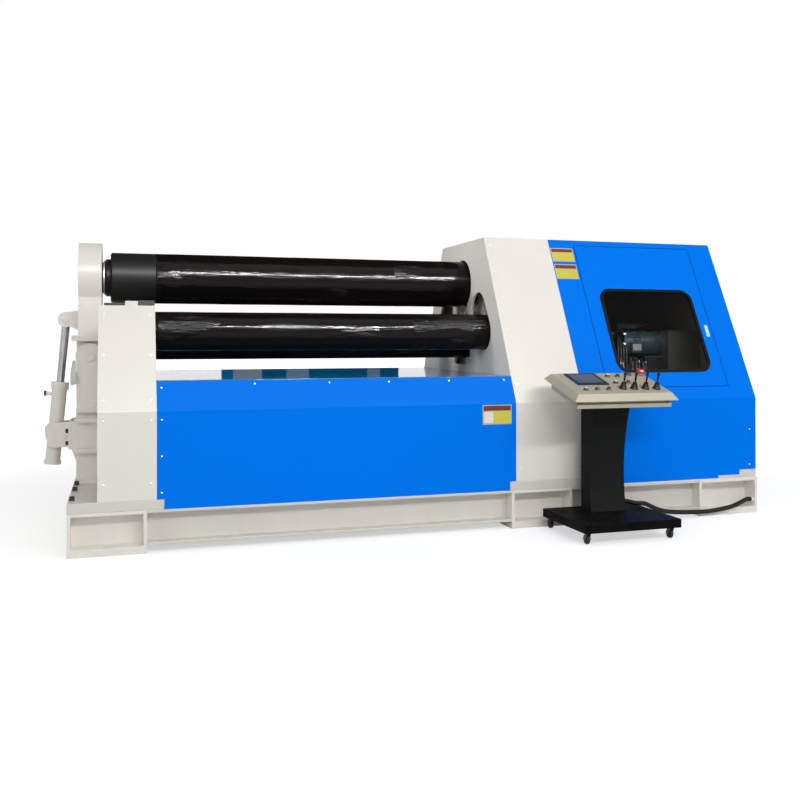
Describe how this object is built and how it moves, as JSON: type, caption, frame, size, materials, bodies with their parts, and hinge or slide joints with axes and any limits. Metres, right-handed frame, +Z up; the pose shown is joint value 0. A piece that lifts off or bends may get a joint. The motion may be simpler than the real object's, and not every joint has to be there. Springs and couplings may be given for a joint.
{
  "type": "plate rolling machine",
  "caption": "Hydraulic plate bending rolls on a fabricated base, with a tilting drop end, a windowed drive cabinet and a wheeled control console on a cable.",
  "frame": {"origin": "on the floor, at the centre of the four anchor holes of the base", "axes": "+X along the rolls, towards the drive cabinet; +Y from the operator's side to the rear; +Z up"},
  "size_m": [5.0183, 2.655, 2.038],
  "materials": {
    "paint_white": "satin",
    "paint_blue": "gloss",
    "switch_metal": "satin",
    "chromed_rod": "polished",
    "roll_film": "gloss",
    "deck_paint": "gloss",
    "seal_rubber": "satin",
    "tinted_glass": "polished",
    "handle_plastic": "gloss",
    "tank_paint": "satin",
    "motor_paint": "satin",
    "valve_metal": "satin",
    "console_black": "satin",
    "console_dark": "satin",
    "console_paint": "satin",
    "screen_glass": "gloss",
    "button_plastic": "satin",
    "stop_plastic": "gloss",
    "boot_rubber": "matte",
    "lever_plastic": "gloss",
    "caster_steel": "satin",
    "caster_rubber": "matte",
    "cable_jacket": "satin"
  },
  "bodies": {
    "machine": {"base_beams": "paint_white", "base_blocks": "paint_white", "foot_plates": "paint_white", "stand_frame": "paint_white", "stand_side_plate": "paint_white", "stand_covers": "paint_white", "hinge_cheeks": "paint_white", "hinge_pin": "paint_white", "cylinder_bracket": "paint_white", "limit_switch": "switch_metal", "aprons": "paint_blue", "deck": "deck_paint", "head_side_plate": "paint_white", "head_frame": "paint_white", "head_cover": "paint_white", "head_partition": "paint_white", "cabinet_front": "paint_blue", "cabinet_back": "paint_blue", "cabinet_top": "paint_blue", "cabinet_end": "paint_blue", "cabinet_floor": "paint_white", "oil_tank": "tank_paint", "drive_motor": "motor_paint", "valve_block": "valve_metal", "console_foot": "console_black", "console_column": "console_dark", "console_desk": "console_paint", "console_screen": "screen_glass", "console_buttons": "button_plastic", "emergency_stop": "stop_plastic", "lever_boots": "boot_rubber", "console_cable": "cable_jacket"},
    "drop_end": {"drop_end": "paint_white"},
    "tilt_cylinder": {"tilt_cylinder": "paint_white"},
    "tilt_rod": {"tilt_rod": "chromed_rod"},
    "top_roll": {"top_roll": "roll_film"},
    "bottom_carrier": {"bottom_chocks": "paint_white"},
    "bottom_roll": {"bottom_roll": "roll_film"},
    "front_carrier": {"front_chocks": "paint_white"},
    "front_roll": {"front_roll": "roll_film"},
    "rear_carrier": {"rear_chocks": "paint_white"},
    "rear_roll": {"rear_roll": "roll_film"},
    "door": {"door": "paint_blue", "window_seal": "seal_rubber", "window_glass": "tinted_glass", "door_handle": "handle_plastic"},
    "lever_1": {"lever_1": "lever_plastic"},
    "lever_2": {"lever_2": "lever_plastic"},
    "lever_3": {"lever_3": "lever_plastic"},
    "lever_4": {"lever_4": "lever_plastic"},
    "caster_fork_1": {"caster_fork_1": "caster_steel"},
    "caster_wheel_1": {"caster_wheel_1": "caster_rubber"},
    "caster_fork_2": {"caster_fork_2": "caster_steel"},
    "caster_wheel_2": {"caster_wheel_2": "caster_rubber"},
    "caster_fork_3": {"caster_fork_3": "caster_steel"},
    "caster_wheel_3": {"caster_wheel_3": "caster_rubber"},
    "caster_fork_4": {"caster_fork_4": "caster_steel"},
    "caster_wheel_4": {"caster_wheel_4": "caster_rubber"}
  },
  "joints": [
    {"name": "drop_end_tilt", "type": "hinge", "parent": "machine", "child": "drop_end", "pos_m": [-2.305, 0, 1.167], "axis": [0, -1, 0], "range_deg": [0, 75]},
    {"name": "tilt_cylinder_swing", "type": "hinge", "parent": "machine", "child": "tilt_cylinder", "pos_m": [-2.536, 0, 0.64], "axis": [0, -1, 0], "range_deg": [0, 15.29]},
    {"name": "tilt_rod_slide", "type": "slide", "parent": "tilt_cylinder", "child": "tilt_rod", "axis": [0.092, 0, 0.9958], "range_m": [-0.3282, 0]},
    {"name": "top_roll_turn", "type": "hinge", "parent": "machine", "child": "top_roll", "pos_m": [0, 0, 1.714], "axis": [1, 0, 0], "continuous": true},
    {"name": "bottom_roll_lift", "type": "slide", "parent": "machine", "child": "bottom_carrier", "axis": [0, 0, 1], "range_m": [0, 0.075]},
    {"name": "bottom_roll_turn", "type": "hinge", "parent": "bottom_carrier", "child": "bottom_roll", "pos_m": [0, 0, 1.298], "axis": [1, 0, 0], "continuous": true},
    {"name": "front_roll_lift", "type": "slide", "parent": "machine", "child": "front_carrier", "axis": [0, 0.5446, 0.8387], "range_m": [0, 0.19]},
    {"name": "front_roll_turn", "type": "hinge", "parent": "front_carrier", "child": "front_roll", "pos_m": [0, -0.438, 1.338], "axis": [1, 0, 0], "continuous": true},
    {"name": "rear_roll_lift", "type": "slide", "parent": "machine", "child": "rear_carrier", "axis": [0, -0.5446, 0.8387], "range_m": [0, 0.19]},
    {"name": "rear_roll_turn", "type": "hinge", "parent": "rear_carrier", "child": "rear_roll", "pos_m": [0, 0.438, 1.338], "axis": [1, 0, 0], "continuous": true},
    {"name": "door_swing", "type": "hinge", "parent": "machine", "child": "door", "pos_m": [1.197, -0.74798, 1.38691], "axis": [0, -0.4369, -0.8995], "range_deg": [0, 38]},
    {"name": "lever_1_tilt", "type": "hinge", "parent": "machine", "child": "lever_1", "pos_m": [1.021, -1.45582, 0.98992], "axis": [1, 0, 0], "range_deg": [-15, 15], "stiffness_Nm_per_rad": 0.6},
    {"name": "lever_2_tilt", "type": "hinge", "parent": "machine", "child": "lever_2", "pos_m": [1.101, -1.45965, 0.98876], "axis": [1, 0, 0], "range_deg": [-15, 15], "stiffness_Nm_per_rad": 0.6},
    {"name": "lever_3_tilt", "type": "hinge", "parent": "machine", "child": "lever_3", "pos_m": [1.182, -1.46348, 0.9876], "axis": [1, 0, 0], "range_deg": [-15, 15], "stiffness_Nm_per_rad": 0.6},
    {"name": "lever_4_tilt", "type": "hinge", "parent": "machine", "child": "lever_4", "pos_m": [1.263, -1.46731, 0.98645], "axis": [1, 0, 0], "range_deg": [-15, 15], "stiffness_Nm_per_rad": 0.6},
    {"name": "caster_1_swivel", "type": "hinge", "parent": "machine", "child": "caster_fork_1", "pos_m": [0.69, -1.59, 0], "axis": [0, 0, 1], "continuous": true},
    {"name": "caster_1_roll", "type": "hinge", "parent": "caster_fork_1", "child": "caster_wheel_1", "pos_m": [0.69, -1.57, 0.031], "axis": [1, 0, 0], "continuous": true},
    {"name": "caster_2_swivel", "type": "hinge", "parent": "machine", "child": "caster_fork_2", "pos_m": [1.29, -1.59, 0], "axis": [0, 0, 1], "continuous": true},
    {"name": "caster_2_roll", "type": "hinge", "parent": "caster_fork_2", "child": "caster_wheel_2", "pos_m": [1.29, -1.57, 0.031], "axis": [1, 0, 0], "continuous": true},
    {"name": "caster_3_swivel", "type": "hinge", "parent": "machine", "child": "caster_fork_3", "pos_m": [0.69, -1.09, 0], "axis": [0, 0, 1], "continuous": true},
    {"name": "caster_3_roll", "type": "hinge", "parent": "caster_fork_3", "child": "caster_wheel_3", "pos_m": [0.69, -1.07, 0.031], "axis": [1, 0, 0], "continuous": true},
    {"name": "caster_4_swivel", "type": "hinge", "parent": "machine", "child": "caster_fork_4", "pos_m": [1.29, -1.09, 0], "axis": [0, 0, 1], "continuous": true},
    {"name": "caster_4_roll", "type": "hinge", "parent": "caster_fork_4", "child": "caster_wheel_4", "pos_m": [1.29, -1.07, 0.031], "axis": [1, 0, 0], "continuous": true}
  ],
  "couplings": [
    {"joint": "tilt_cylinder_swing", "follows": "drop_end_tilt", "ratio": 0.2025},
    {"joint": "tilt_rod_slide", "follows": "drop_end_tilt", "m_per_rad": -0.25}
  ]
}
